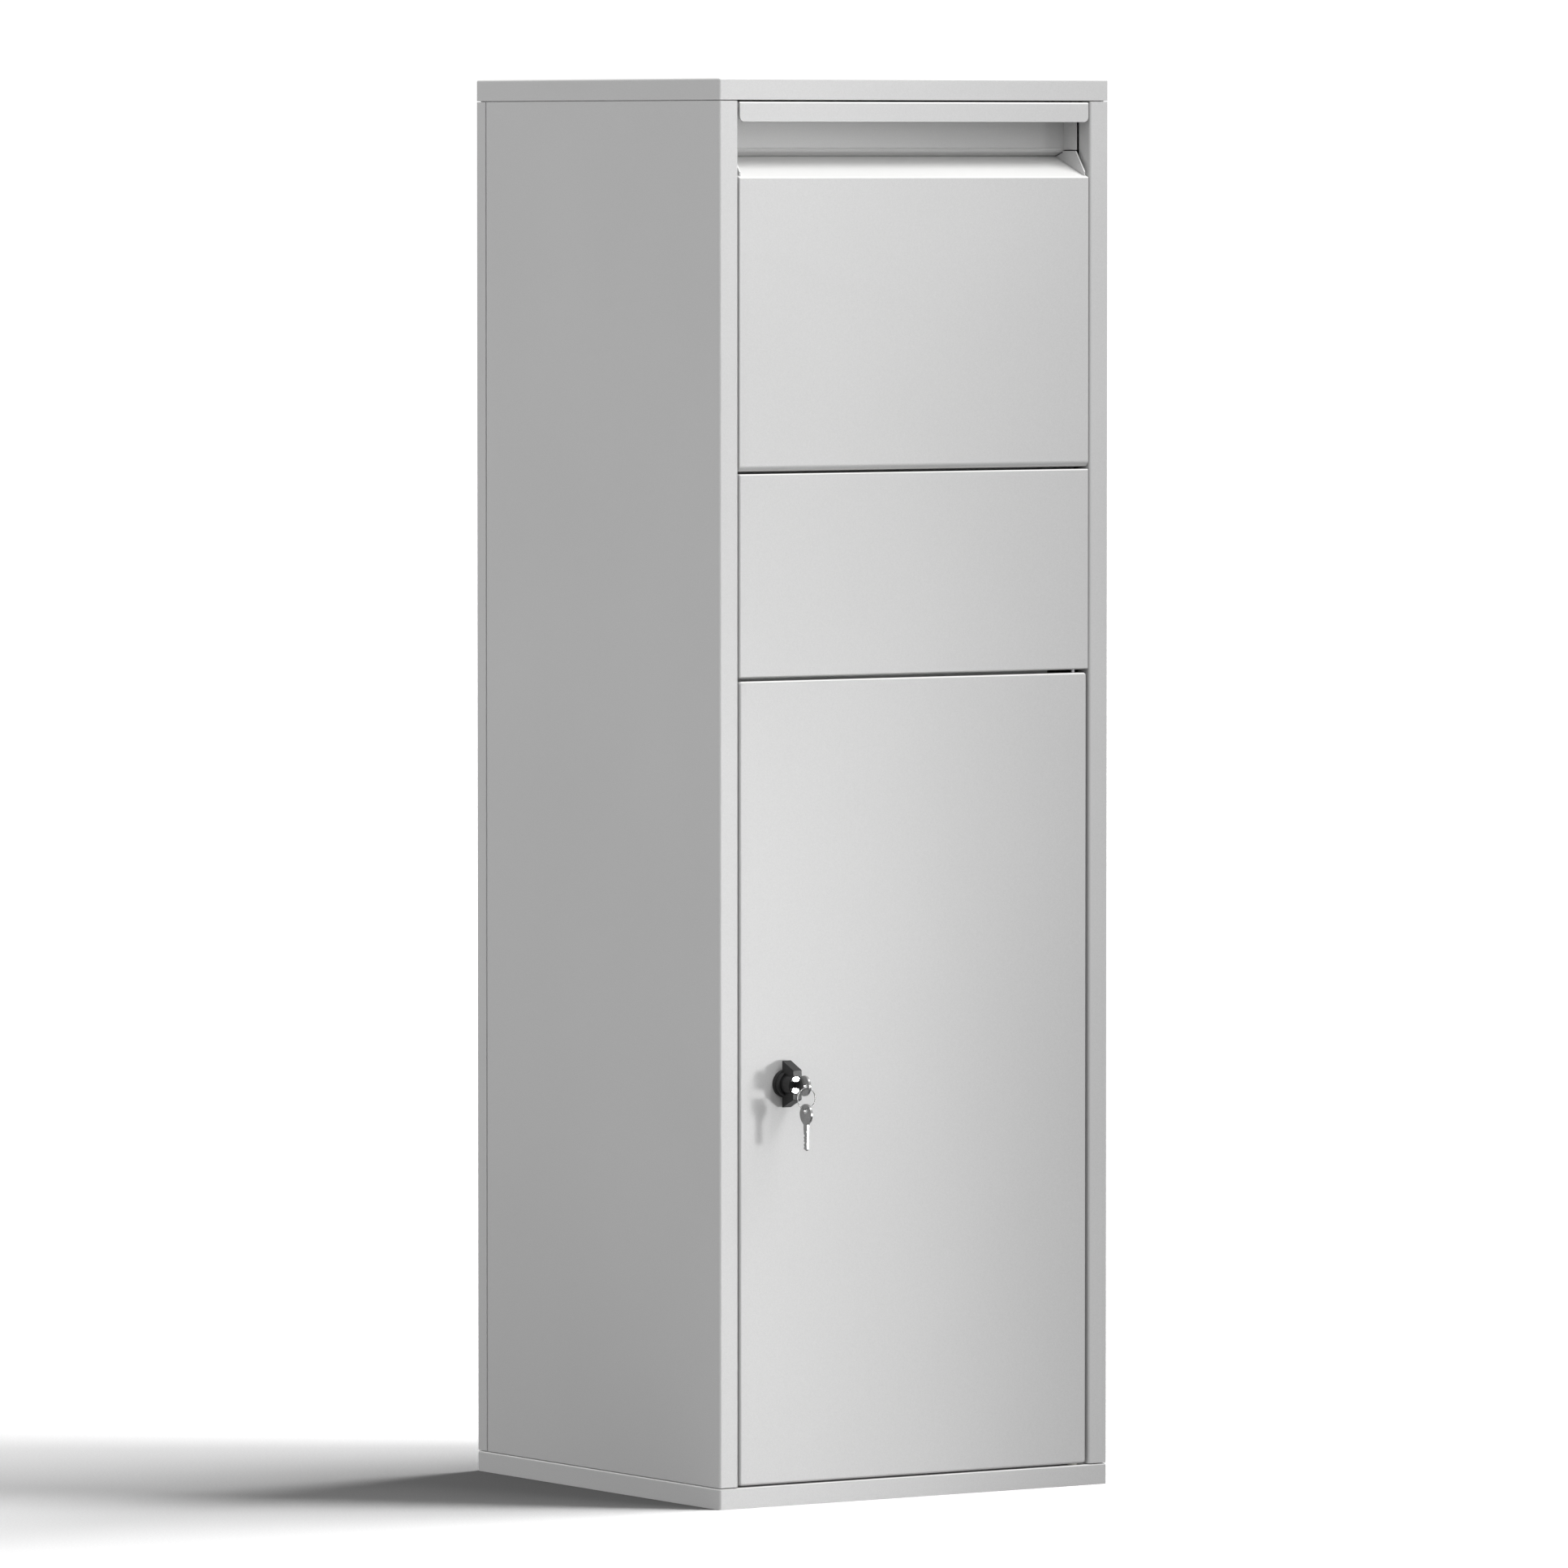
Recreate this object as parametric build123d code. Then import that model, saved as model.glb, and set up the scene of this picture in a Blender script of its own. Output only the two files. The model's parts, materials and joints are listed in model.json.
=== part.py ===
from build123d import *
import os
from math import cos, radians, sin, tan

# Parcel drop box: a floor-standing folded-steel cabinet. A drop drawer at the top tips forward to take a
# parcel and lets it slide down into the compartment when it shuts; a locked door below lets it out.
# Millimetres. X runs right, Y runs back from the front, Z runs up; the origin is the footprint's centre.

os.makedirs("parts", exist_ok=True)

# Driving sizes
width = 394.0
depth = 386.0
height = 1200.0
sheet = 1.2  # folded steel sheet
fold = 2.0  # outside radius of a fold
gap = 0.05  # working gap between pieces that are held together
seam = 0.7  # visible joint between neighbouring shells
base_height = 17.5
cover_height = 18.4
post_width = 19.0  # front face of a side panel, beside the door
post_depth = 16.6  # return of that face into the cabinet
rim = 20.0  # flanges through which the shells are screwed together
rear_wrap = 15.0  # edge of the rear panel that shows on the sides
door_bottom = 19.05
door_top = 695.0
door_left = -176.6
door_right = 175.1
door_depth = 18.0
middle_bottom = 698.0
middle_top = 868.6
drawer_bottom = 870.8
slope_foot = 1116.7  # fold between the drawer's face and its finger slope
slope_rise = tan(radians(20.6))
slope_end = 52.0
header_bottom = 1163.4
header_top = 1180.4
roll = 5.0  # large fold along the drawer's lower edge, on the tilting axis
hinge_x = 166.3
hinge_inset = 8.0
knob_x = -132.3
knob_z = 356.2
drawer_play = 0.95  # between the drawer's ends and the posts
screw_z = (725.0, 840.0)  # the middle panel's screws
guard_screw_z = 945.0
buffer_z = 1161.0  # the buffers that the shut drawer rests against
buffer_inset = 28.0

# Fasteners, pins and holes
bolt_radius = 2.5
bolt_hole = bolt_radius + 0.2
flush_radius = 2.0
cone_hole = 3.2  # clears the tip of a flush screw's head
pin_radius = 1.75  # the door's hinge pins
pin_hole = pin_radius + gap
door_bush_radius = 3.5
pivot_radius = 2.0  # the drawer's pivot pins
drawer_bush_radius = 2.7
stop_radius = 2.5  # the drawer's stop studs
rivet_radius = 1.6
wall_hole_radius = 4.5
floor_hole_radius = 5.5
sleeve_radius = 9.0  # the lock's sleeve through the door

# Places that follow from them
left = -width / 2
right = width / 2
front = -depth / 2
back = depth / 2
opening = right - post_width
middle_left = -opening + 1.0
middle_right = opening - 0.8
panel_bottom = base_height + seam
upstand_top = 31.0  # the base's upstand behind the door
panel_top = height - cover_height - seam
side_end = back - rear_wrap - seam
pivot_y = front + roll
pivot_z = drawer_bottom + roll
drawer_half = opening - drawer_play
cheek_half = drawer_half - sheet - gap
hinge_y = front + hinge_inset
lintel_y = front + rim
cut = 2 * width  # longer than anything it cuts through
both = (-1, 1)  # left and right


# ---- shaping helpers -------------------------------------------------------------------------------


def block(x0, x1, y0, y1, z0, z1):
    """Rectangular block between two corners."""
    return Pos((x0 + x1) / 2, (y0 + y1) / 2, (z0 + z1) / 2) * Box(x1 - x0, y1 - y0, z1 - z0)


def folded(points, radii, side, thickness=sheet):
    """Section of folded sheet: the points run along its skin, and the metal lies to one side of them."""
    skin = FilletPolyline(*points, radius=radii)
    return make_face(offset(skin, amount=thickness, side=side).edges())


def upright(face, z0, z1):
    """Plan section (x, y) raised from z0 to z1."""
    return extrude(Pos(0, 0, z0) * face, amount=z1 - z0)


def across(face, x0, x1):
    """Side-view section (y, z) drawn out from x0 to x1."""
    return extrude(Plane.YZ.offset(x0) * face, amount=x1 - x0)


def outline(*points):
    return make_face(Polyline(*points, close=True))


def place(piece, at, facing):
    """Puts a piece made along +Z at a point, pointing along facing."""
    return Plane(origin=at, z_dir=facing).location * piece


def rod(at, facing, radius, length):
    """Plain cylinder that starts at a point and runs along facing."""
    return place(Cylinder(radius, length, align=(Align.CENTER, Align.CENTER, Align.MIN)), at, facing)


def rods(places, facing, radius, length):
    """One rod at each of several places."""
    return [rod(at, facing, radius, length) for at in places]


def sheet_box(corners, face_edges, face_radius, corner_axis, corner_radius, mouth):
    """Closed box of sheet, its corners and one face's edges rounded, then opened by a mouth block."""
    outer = block(*corners)
    outer = fillet(outer.edges().filter_by(corner_axis), corner_radius)
    outer = fillet(face_edges(outer), face_radius)
    inner = block(*(value + (sheet if i % 2 == 0 else -sheet) for i, value in enumerate(corners)))
    inner = fillet(inner.edges().filter_by(corner_axis), max(corner_radius - sheet, 0.4))
    return outer - inner - mouth


def button_screw(at, facing, length, radius=bolt_radius):
    """Button-head screw with a hexagon socket; its head stands on the point and points along facing."""
    head_height = 1.1 * radius
    head = Cylinder(1.9 * radius, head_height, align=(Align.CENTER, Align.CENTER, Align.MIN))
    head = fillet(head.edges().group_by(Axis.Z)[-1], 0.6 * head_height)
    socket = extrude(Pos(0, 0, 0.4 * head_height) * RegularPolygon(0.75 * radius, 6), amount=head_height)
    shank = rod((0, 0, 0), (0, 0, -1), radius, length)
    return place(head - socket + shank, at, facing)


def hex_nut(at, facing, radius=bolt_radius):
    """Hexagon nut that stands on the point and runs along facing."""
    body = extrude(RegularPolygon(1.85 * radius, 6), amount=1.6 * radius)
    return place(body - Cylinder(radius + gap, cut), at, facing)


def flush_screw(at, facing, length, radius=flush_radius):
    """Countersunk screw whose head ends flush at the point."""
    head = Pos(0, 0, -radius / 2) * Cone(radius, 2 * radius, radius)
    socket = extrude(Pos(0, 0, -0.6 * radius) * RegularPolygon(0.8 * radius, 6), amount=radius)
    shank = rod((0, 0, -radius / 2), (0, 0, -1), radius, length)
    return place(head - socket + shank, at, facing)


def countersink(at, facing, radius=flush_radius):
    """Hole for a flush screw, a little larger than its head and shank."""
    cone = Pos(0, 0, -radius / 2) * Cone(radius + gap, 2 * radius + gap, radius)
    return place(cone + Cylinder(radius + gap, cut), at, facing)


def save(name, *pieces):
    solids = [solid for piece in pieces for solid in piece.solids()]
    shape = solids[0] if len(solids) == 1 else Compound(children=solids)
    export_step(shape, os.path.join("parts", name + ".step"))


# ---- places of the fasteners -----------------------------------------------------------------------

rim_bolts = [(side * (right - rim / 2), y) for side in both for y in (-120.0, 0.0, 120.0)]
rear_screw_x = right - 11.0
rear_screws_at = [(side * rear_screw_x, back, z) for side in both for z in (60, 330, 600, 870, 1140)]
guard_screws_at = [(x, back, guard_screw_z) for x in (-120.0, -40.0, 40.0, 120.0)]
wall_holes_at = [(x, back - 2 * sheet, z) for x in (-120.0, 120.0) for z in (250.0, 1050.0)]
floor_holes_at = [(x, y, 0) for x in (-125.0, 125.0) for y in (-120.0, 120.0)]
middle_screws_at = [(side, front + 9.0, z) for side in both for z in screw_z]
rear_flange_y = back - sheet - 0.4  # rear face of the side panels' rear flange


# ---- cabinet shells --------------------------------------------------------------------------------


def seam_bead(z):
    """Bead pressed in a rim, three sides round, which meets the side panels and leaves a groove outside."""
    outer = block(left + 3, right - 3, front + 3, back - 3, z, z + seam - gap)
    return outer - block(left + 6, right - 6, front - 1, back - 6, z - 1, z + 1)


def base_tray():
    """Shallow tray: floor plate, visible band, screw rims on top and an upstand behind the door."""
    body = sheet_box(
        (left, right, front, back, 0, base_height),
        lambda box: box.faces().sort_by(Axis.Z)[-1].edges(),
        1.4,
        Axis.Z,
        fold,
        block(left + rim, right - rim, front + rim, back - rim, base_height / 2, base_height + 1),
    )
    body += block(door_left + 8, hinge_x - 18, lintel_y, lintel_y + sheet, base_height - sheet, upstand_top)
    body += seam_bead(base_height)
    holes = rods(floor_holes_at, (0, 0, 1), floor_hole_radius, 3)
    holes += rods([(x, y, base_height / 2) for x, y in rim_bolts], (0, 0, 1), bolt_hole, base_height)
    holes.append(rod((hinge_x, hinge_y, base_height / 2), (0, 0, 1), pin_hole, base_height))
    return body - holes


def top_cover():
    """Lid: top sheet and visible band, with screw rims turned in at the sides and back only."""
    body = sheet_box(
        (left, right, front, back, height - cover_height, height),
        lambda box: box.faces().sort_by(Axis.Z)[-1].edges(),
        fold,
        Axis.Z,
        fold,
        block(left + rim, right - rim, front + sheet, back - rim, 0, height - cover_height / 2),
    )
    body += seam_bead(panel_top + gap)
    below = height - 1.5 * cover_height
    return body - rods([(x, y, below) for x, y in rim_bolts], (0, 0, 1), bolt_hole, cover_height)


def side_panel():
    """Left side: front post with its return, the side, a step under the rear panel's edge, and rims."""
    step = sheet + 0.3
    skin = (
        (-opening, front + post_depth),
        (-opening, front),
        (left, front),
        (left, side_end - 1.0),
        (left + step, side_end + step - 1.0),
        (left + step, rear_flange_y),
        (left + rim, rear_flange_y),
    )
    panel = upright(folded(skin, (fold, fold, 1.3, 0.5, fold), Side.RIGHT), panel_bottom, panel_top)
    for z0 in (panel_bottom, panel_top - sheet):
        panel += block(left + sheet / 2, left + rim, front + 24, side_end - 2, z0, z0 + sheet)
    for z in (panel_bottom, panel_top):
        panel -= rods([(x, y, z - 4) for x, y in rim_bolts], (0, 0, 1), bolt_hole, 8)
    panel -= rods([(x, rear_flange_y - 3, z) for x, _, z in rear_screws_at], (0, 1, 0), cone_hole, 6)
    panel -= rod((-opening - 3, pivot_y, pivot_z), (1, 0, 0), drawer_bush_radius + gap, 6)
    return panel - [rod((-opening - 3, y, z), (1, 0, 0), bolt_hole, 6) for _, y, z in middle_screws_at[:2]]


def rear_panel():
    """Rear wall whose edges wrap round to the sides, with holes for fixing it to a wall."""
    skin = ((left, back - rear_wrap), (left, back), (right, back), (right, back - rear_wrap))
    panel = upright(folded(skin, fold, Side.RIGHT), panel_bottom, panel_top)
    for z0 in (panel_bottom, panel_top - sheet):
        panel += block(left + rim + 2, right - rim - 2, back - rear_wrap, back - sheet / 2, z0, z0 + sheet)
    holes = rods(wall_holes_at, (0, 1, 0), wall_hole_radius, 3 * sheet)
    holes += [countersink(at, (0, 1, 0)) for at in rear_screws_at + guard_screws_at]
    holes = [hole & block(-cut, cut, 0, cut, 0, height) for hole in holes]
    return panel - holes


def middle_panel():
    """Fixed panel between the drawer and the door, screwed to the posts through its side flanges."""
    corners = (middle_left, middle_right, front, front + 15, middle_bottom, middle_top)
    mouth = (
        middle_left + sheet,
        middle_right - sheet,
        front + 8,
        front + 16,
        middle_bottom + sheet,
        middle_top - sheet,
    )
    body = sheet_box(
        corners,
        lambda box: box.faces().sort_by(Axis.Y)[0].edges(),
        1.4,
        Axis.Y,
        0.8,
        block(*mouth),
    )
    holes = [rod((side * (opening - 6), y, z), (side, 0, 0), bolt_hole, 8) for side, y, z in middle_screws_at]
    holes.append(rod((hinge_x, hinge_y, middle_bottom - 2), (0, 0, 1), pin_hole, 4))
    return body - holes


def lintel():
    """Angle behind the door's top edge: it stops the door and backs the upper hinge pin."""
    top = middle_bottom + 2 * sheet + gap
    foot = door_top - 11
    skin = ((front + 3, top), (lintel_y + sheet, top), (lintel_y + sheet, foot))
    angle = across(folded(skin, fold, Side.RIGHT), door_left + 8, hinge_x + 8)
    angle -= block(hinge_x - 18, cut, lintel_y - 3, lintel_y + 3, foot - 1, top - fold)
    return angle - rod((hinge_x, hinge_y, top - 3), (0, 0, 1), pin_hole, 4)


def fishing_guard():
    """Sloping shelf on the rear wall that closes the way down while the drawer is open."""
    root_y = back - sheet - gap
    edge_y = root_y - 131.0
    skin = ((root_y, 962), (root_y, 915), (edge_y, 880), (edge_y, 868))
    shelf = across(folded(skin, fold, Side.RIGHT), -172, 172)
    return shelf - rods([(x, root_y - 3, z) for x, _, z in guard_screws_at], (0, 1, 0), cone_hole, 6)


def latch_keeper():
    """Welded angle behind the left post that the latch cam turns behind."""
    post_back = -opening - sheet - gap
    skin = ((post_back, front + 4), (post_back, front + 18.6), (post_back - 12, front + 18.6))
    return upright(folded(skin, fold, Side.LEFT), knob_z - 18, knob_z + 18)


stop_y = front + 45.0


def drawer_stop_bracket(side):
    """Angle on a side panel that carries the buffer the shut drawer rests against."""
    wall = right - sheet - gap
    skin = ((side * wall, stop_y + 26), (side * wall, stop_y), (side * (wall - 36), stop_y))
    bent = folded(skin, fold, Side.LEFT if side < 0 else Side.RIGHT)
    bracket = upright(bent, buffer_z - 11, buffer_z + 11)
    return bracket - rod((side * (wall - buffer_inset), stop_y - 4, buffer_z), (0, 1, 0), 2.0, 8)


def drawer_buffer(side):
    """Rubber button with a stem pushed through its bracket."""
    x = side * (right - sheet - gap - buffer_inset)
    button = rod((x, stop_y - gap, buffer_z), (0, -1, 0), 6.0, 8.0)
    button = fillet(button.edges().group_by(Axis.Y)[0], 1.2)
    return button + rod((x, stop_y - 1, buffer_z), (0, 1, 0), 1.9, 4.0)


def door_buffers():
    """Rubber pads that the shut door rests against, on the lintel and on the base's upstand."""
    pads = []
    for x in (-130.0, 110.0):
        for z in (upstand_top - 6, door_top - 6):
            pad = rod((x, lintel_y - gap, z), (0, -1, 0), 4.5, 1.7)
            pads.append(fillet(pad.edges().group_by(Axis.Y)[0], 0.7))
    return pads


def floor_mat():
    """Rubber mat on the compartment's floor, open over the anchor holes."""
    mat = block(left + 24, right - 24, front + 26, back - 24, sheet + 0.2, sheet + 3.2)
    mat = fillet(mat.edges().filter_by(Axis.Z), 6)
    return mat - rods(floor_holes_at, (0, 0, 1), 14.0, 8)


# ---- cabinet fasteners and bearings ----------------------------------------------------------------


def shell_fasteners():
    """Screws and nuts through the rims that join the side panels to the base and the cover."""
    cover_under = panel_top - sheet
    base_over = panel_bottom + sheet
    base_under = base_height - sheet - gap
    cover_over = height - cover_height + sheet + gap
    save("cover_screws", *(button_screw((x, y, cover_under - gap), (0, 0, -1), 9) for x, y in rim_bolts))
    save("cover_nuts", *(hex_nut((x, y, cover_over), (0, 0, 1)) for x, y in rim_bolts))
    save("base_screws", *(button_screw((x, y, base_over + gap), (0, 0, 1), 9) for x, y in rim_bolts))
    save("base_nuts", *(hex_nut((x, y, base_under), (0, 0, -1)) for x, y in rim_bolts))


def rear_fasteners():
    """Flush screws through the rear panel: into the side panels, and into the guard."""
    flange_inner = rear_flange_y - sheet - gap
    guard_inner = back - 2 * sheet - 2 * gap
    for name, places, inner in (("rear", rear_screws_at, flange_inner), ("guard", guard_screws_at, guard_inner)):
        nuts = [hex_nut((x, inner, z), (0, -1, 0), flush_radius) for x, _, z in places]
        save(name + "_screws", *(flush_screw(at, (0, 1, 0), 7) for at in places))
        save(name + "_nuts", *nuts)


def middle_fasteners():
    """Screws that hold the middle panel's side flanges to the posts."""
    inner = {-1: middle_left + sheet + gap, 1: middle_right - sheet - gap}
    outer = opening + sheet + gap
    save("middle_screws", *(button_screw((inner[s], y, z), (-s, 0, 0), 8) for s, y, z in middle_screws_at))
    save("middle_nuts", *(hex_nut((s * outer, y, z), (s, 0, 0)) for s, y, z in middle_screws_at))


def door_pin_upper():
    """Headed pin dropped through the lintel and the middle panel into the door's top edge."""
    seat = middle_bottom + 2 * sheet + 2 * gap
    head = rod((hinge_x, hinge_y, seat), (0, 0, 1), 4.0, 2.0)
    return head + rod((hinge_x, hinge_y, seat), (0, 0, -1), pin_radius, seat - door_top + 9)


def door_pin_lower():
    """Headed pin pushed up through the base's rim into the door's lower edge."""
    seat = base_height - sheet - gap
    head = rod((hinge_x, hinge_y, seat), (0, 0, -1), 4.0, 2.0)
    return head + rod((hinge_x, hinge_y, seat), (0, 0, 1), pin_radius, door_bottom - seat + 8.5)


def door_thrust_washer():
    """Nylon washer between the base and the door, which carries the door's weight."""
    ring = rod((hinge_x, hinge_y, base_height + gap), (0, 0, 1), 4.6, door_bottom - base_height - 2 * gap)
    return ring - rod((hinge_x, hinge_y, 0), (0, 0, 1), pin_hole, height)


def drawer_bush(side):
    """Flanged nylon bush in a post's return, on the drawer's tilting axis."""
    start = (side * (opening - 0.3), pivot_y, pivot_z)
    flange = (side * (opening + sheet + gap), pivot_y, pivot_z)
    body = rod(start, (side, 0, 0), drawer_bush_radius, sheet + 1.5)
    body += rod(flange, (side, 0, 0), drawer_bush_radius + 0.5, 1.6)
    return body - rod((side * (opening - 5), pivot_y, pivot_z), (side, 0, 0), pivot_radius + gap, 20)


# ---- drop drawer -----------------------------------------------------------------------------------


def slope_at(behind):
    """Height of the finger slope's skin so far behind the front."""
    return slope_foot + slope_rise * behind


def drawer_front():
    """Face of the drawer: finger slope folded back at the top, side flanges, large fold at the bottom."""
    under = sheet / cos(radians(20.6))  # the slope's thickness measured upright
    flange = 12.0
    foot_depth = 16.0
    skin = outline(
        (front, drawer_bottom),
        (front, slope_foot),
        (front + slope_end, slope_at(slope_end)),
        (front + slope_end, slope_at(slope_end) - under),
        (front + flange, slope_at(flange) - under),
        (front + flange, drawer_bottom + sheet),
        (front + foot_depth, drawer_bottom + sheet),
        (front + foot_depth, drawer_bottom),
    )
    skin = fillet(skin.vertices().sort_by_distance((front, drawer_bottom))[0], roll)
    skin = fillet(skin.vertices().sort_by_distance((front, slope_foot))[0], 1.6)
    body = across(skin, -drawer_half, drawer_half)
    ends = body.faces().filter_by(Axis.X)
    rounded = [
        edge
        for end in ends
        for edge in end.edges()
        if edge.center().Y < front + 2.0 and edge.center().Z < slope_foot - 1
    ]
    body = fillet(rounded, 1.0)
    hollow = outline(
        (front + sheet, drawer_bottom + sheet),
        (front + sheet, slope_at(sheet) - under),
        (front + flange + 1, slope_at(flange + 1) - under),
        (front + flange + 1, drawer_bottom + sheet),
    )
    hollow = fillet(hollow.vertices().sort_by_distance((front, drawer_bottom))[0], roll - sheet)
    body -= across(hollow, -drawer_half + sheet, drawer_half - sheet)
    return body - rod((-cut, pivot_y, pivot_z), (1, 0, 0), pivot_radius + 0.1, 2 * cut)


grip_half = 176.4
grip_back = 36.6  # rear skin of the grip's back wall, behind the front
lip_z = 1139.3


def grip_channel():
    """Channel that the fingers curl up into: header strip, top, back wall, and a lip laid to the slope."""
    lip_run = 10.8
    bead_radius = 0.9  # bead along the foot of the back wall
    skin = (
        (front, header_bottom),
        (front, header_top),
        (front + grip_back, header_top - 3.0),
        (front + grip_back, lip_z),
        (front + grip_back + lip_run, lip_z - lip_run / 3),
    )
    channel = across(folded(skin, (fold, 3.0, 0.8), Side.RIGHT), -grip_half, grip_half)
    corners = channel.edges().filter_by(Axis.Y).filter_by(lambda edge: edge.center().Y < front + 2)
    channel = fillet([edge for edge in corners if edge.center().Z < header_bottom + 1], 4.5)
    bead_half = grip_half - 2 * sheet - 2 * gap
    channel += rod((-bead_half, front + grip_back - sheet, lip_z + 1), (1, 0, 0), bead_radius, 2 * bead_half)
    for side in both:
        ends = sorted((side * grip_half, side * (grip_half - sheet)))
        channel += block(*ends, front + 17, front + grip_back - sheet / 2, lip_z + 0.6, header_top - 4)
    return channel


def grip_end(side):
    """Gusset that closes the recess's end, from the slope up to the lip."""
    outer = grip_half - sheet - gap
    ends = sorted((side * outer, side * (outer - sheet)))
    plate = outline(
        (front + 2.8, slope_at(2.8) + 0.1),
        (front + 2.8, slope_foot + 4.7),
        (front + 16, lip_z - 0.3),
        (front + 34.9, lip_z - 0.3),
        (front + 34.9, lip_z - 1.5),
        (front + 45.2, slope_at(45.2) + 0.6),
        (front + 45.2, slope_at(45.2) + 0.1),
    )
    return across(plate, *ends)


cheek_radius = 236.0


def drawer_cheek(side):
    """Sector-shaped side wall that keeps a parcel on the tray and closes the open drawer's sides."""
    boss = roll - sheet - 0.1
    start = 18.0  # where the lower edge turns down along the tray, behind the front
    lean = front + start + pivot_z - boss  # y + z along that sloping lower edge
    reach = cheek_radius + 20
    wedge = outline(
        (front + sheet + 0.1, pivot_z),
        (front + sheet + 0.1, pivot_z + reach),
        (pivot_y + reach, pivot_z + reach),
        (pivot_y + reach, lean - pivot_y - reach),
        (front + start, pivot_z - boss),
        (pivot_y, pivot_z - boss),
    )
    wedge &= Pos(pivot_y, pivot_z) * Circle(cheek_radius)
    wedge += Pos(pivot_y, pivot_z) * Circle(boss)
    ends = sorted((side * cheek_half, side * (cheek_half - sheet)))
    plate = across(wedge, *ends)
    inner = side * (cheek_half - sheet / 2)
    ends = sorted((inner, inner - side * 14))
    plate += block(*ends, front + sheet + 0.1, front + 2 * sheet + 0.1, pivot_z + 12, slope_foot - 12)
    holes = [rod((-cut, pivot_y, pivot_z), (1, 0, 0), pivot_radius + gap, 2 * cut)]
    holes.append(rod((-cut, stop_stud_y, stop_stud_z), (1, 0, 0), stop_radius + gap, 2 * cut))
    return plate - holes - tray_rivet_holes()


tray_length = 226.0
tray_start = 21.0  # where the tray turns down, behind the front
tray_foot = drawer_bottom + sheet + gap
slant = cos(radians(45))
tray_rivets_at = [
    (front + tray_start + (along + 6) * slant, tray_foot - (along - 6) * slant)
    for along in (25, 80, 135, 190)
]
stop_reach = 220.0
stop_angle = radians(49.14)  # from upright, so that the sleeve meets the post after the full tilt
stop_stud_y = pivot_y + stop_reach * sin(stop_angle)
stop_stud_z = pivot_z + stop_reach * cos(stop_angle)


def tray_rivet_holes():
    return [rod((-cut, y, z), (1, 0, 0), rivet_radius + gap, 2 * cut) for y, z in tray_rivets_at]


def drawer_tray():
    """Plate the parcel lies on: level while the drawer is open, and a chute while it is shut."""
    half = cheek_half - sheet - gap
    skin = (
        (front + 9, tray_foot),
        (front + tray_start, tray_foot),
        (front + tray_start + tray_length * slant, tray_foot - tray_length * slant),
        (front + tray_start + (tray_length - 10) * slant, tray_foot - (tray_length + 10) * slant),
    )
    plate = across(folded(skin, (fold, fold), Side.LEFT), -half, half)
    for side in both:
        ends = sorted((side * half, side * (half - sheet)))
        flange = outline(
            (front + tray_start + 8 * slant, tray_foot - 8 * slant + 0.4),
            (front + tray_start + (tray_length - 4) * slant, tray_foot - (tray_length - 4) * slant + 0.4),
            (front + tray_start + (tray_length + 6) * slant, tray_foot - (tray_length - 14) * slant),
            (front + tray_start + 22 * slant, tray_foot + 4 * slant),
        )
        plate += across(flange, *ends)
    return plate - tray_rivet_holes()


def tray_rivets():
    """Flat-headed rivets through the cheeks and the tray's side flanges."""
    rivets = []
    for side in both:
        outer = side * (cheek_half + gap)
        inner = side * (cheek_half - 2 * sheet - 2 * gap)
        for y, z in tray_rivets_at:
            shank = rod((outer + side * 0.5, y, z), (-side, 0, 0), rivet_radius, 4.4)
            heads = [rod((outer, y, z), (side, 0, 0), 3.0, 0.8), rod((inner, y, z), (-side, 0, 0), 3.0, 1.4)]
            rivets.append(shank + heads)
    return rivets


def drawer_pivot_pin(side):
    """Headed pin from inside the cheek, through the drawer's flange, into the post's bush."""
    inner = side * (cheek_half - sheet - gap)
    pin = rod((inner, pivot_y, pivot_z), (side, 0, 0), pivot_radius, 8.5)
    return pin + rod((inner, pivot_y, pivot_z), (-side, 0, 0), 3.4, 1.6)


def drawer_stop_stud(side):
    """Stud on the cheek that meets the post's return when the drawer is fully open."""
    inner = side * (cheek_half - sheet - gap)
    stud = rod((inner, stop_stud_y, stop_stud_z), (side, 0, 0), stop_radius, 13)
    return stud + rod((inner, stop_stud_y, stop_stud_z), (-side, 0, 0), 4.5, 2.4)


def drawer_stop_sleeve(side):
    """Rubber sleeve on the stop stud."""
    start = (side * (cheek_half + gap), stop_stud_y, stop_stud_z)
    sleeve = rod(start, (side, 0, 0), 4.0, 10)
    return sleeve - rod((-cut, stop_stud_y, stop_stud_z), (1, 0, 0), stop_radius + gap, 2 * cut)


# ---- door ------------------------------------------------------------------------------------------


def door_shell():
    """Door: face with four returns and lips, bushed at the hinge side and bored for the lock."""
    lip = 12.0
    body = sheet_box(
        (door_left, door_right, front, front + door_depth, door_bottom, door_top),
        lambda box: box.faces().sort_by(Axis.Y)[0].edges(),
        1.7,
        Axis.Y,
        2.5,
        block(door_left + lip, door_right - lip, front + 9, back, door_bottom + lip, door_top - lip),
    )
    body -= rod((hinge_x, hinge_y, 0), (0, 0, 1), door_bush_radius + gap, height)
    return body - rod((knob_x, front - 2, knob_z), (0, 1, 0), sleeve_radius + 0.15, 6)


def door_stiffener():
    """Hat section up the inside of the door."""
    base_y = front + 2 * sheet + gap
    crown_y = front + 14.0
    skin = ((-30, base_y), (-15, base_y), (-11, crown_y), (11, crown_y), (15, base_y), (30, base_y))
    return upright(folded(skin, fold, Side.RIGHT), door_bottom + 22, door_top - 22)


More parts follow.
